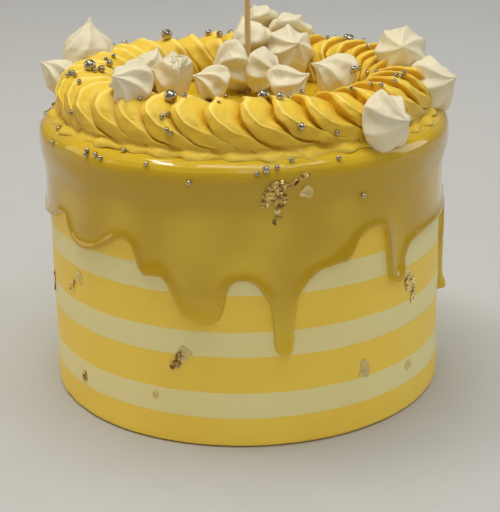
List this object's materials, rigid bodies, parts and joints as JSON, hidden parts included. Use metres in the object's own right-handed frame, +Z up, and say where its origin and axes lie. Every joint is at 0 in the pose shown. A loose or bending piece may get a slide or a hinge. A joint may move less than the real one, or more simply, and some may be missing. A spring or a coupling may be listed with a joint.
{
  "type": "lemon meringue layer cake",
  "caption": "Tall round layer cake with striped buttercream sides, a poured lemon glaze that drips, a piped buttercream rope, meringue kisses, sugar pearls, gold leaf and a topper stick.",
  "frame": {"origin": "centre of the cake's flat foot", "axes": "+Z up along the cake's axis, -Y towards the front with the longest drip, +X to the right seen from the front"},
  "size_m": [0.2228, 0.2145, 0.208],
  "materials": {
    "yellow_buttercream": "smooth satin buttercream",
    "white_buttercream": "smooth satin buttercream",
    "lemon_glaze": "wet glossy glaze",
    "piped_buttercream": "soft satin piped buttercream",
    "meringue": "dry matte baked meringue with a slight sheen",
    "wood": "plain unfinished wood"
  },
  "bodies": {
    "root": {"cake_body": "yellow_buttercream", "white_band_1": "white_buttercream", "white_band_2": "white_buttercream", "white_band_3": "white_buttercream", "lemon_glaze": "lemon_glaze", "piped_rope": "piped_buttercream", "topper_stick": "wood", "kiss_left_tall": "meringue", "kiss_left_low": "meringue", "kiss_front_left": "meringue", "kiss_chipped": "meringue", "kiss_back_left": "meringue", "kiss_small": "meringue", "kiss_left_of_stick": "meringue", "kiss_right_of_stick": "meringue", "kiss_middle": "meringue", "kiss_leaning": "meringue", "kiss_back_high": "meringue", "kiss_back_slope": "meringue", "kiss_back_crest": "meringue", "kiss_back_star": "meringue", "kiss_right_tall": "meringue", "kiss_right_low": "meringue", "kiss_front_right": "meringue"}
  },
  "joints": []
}
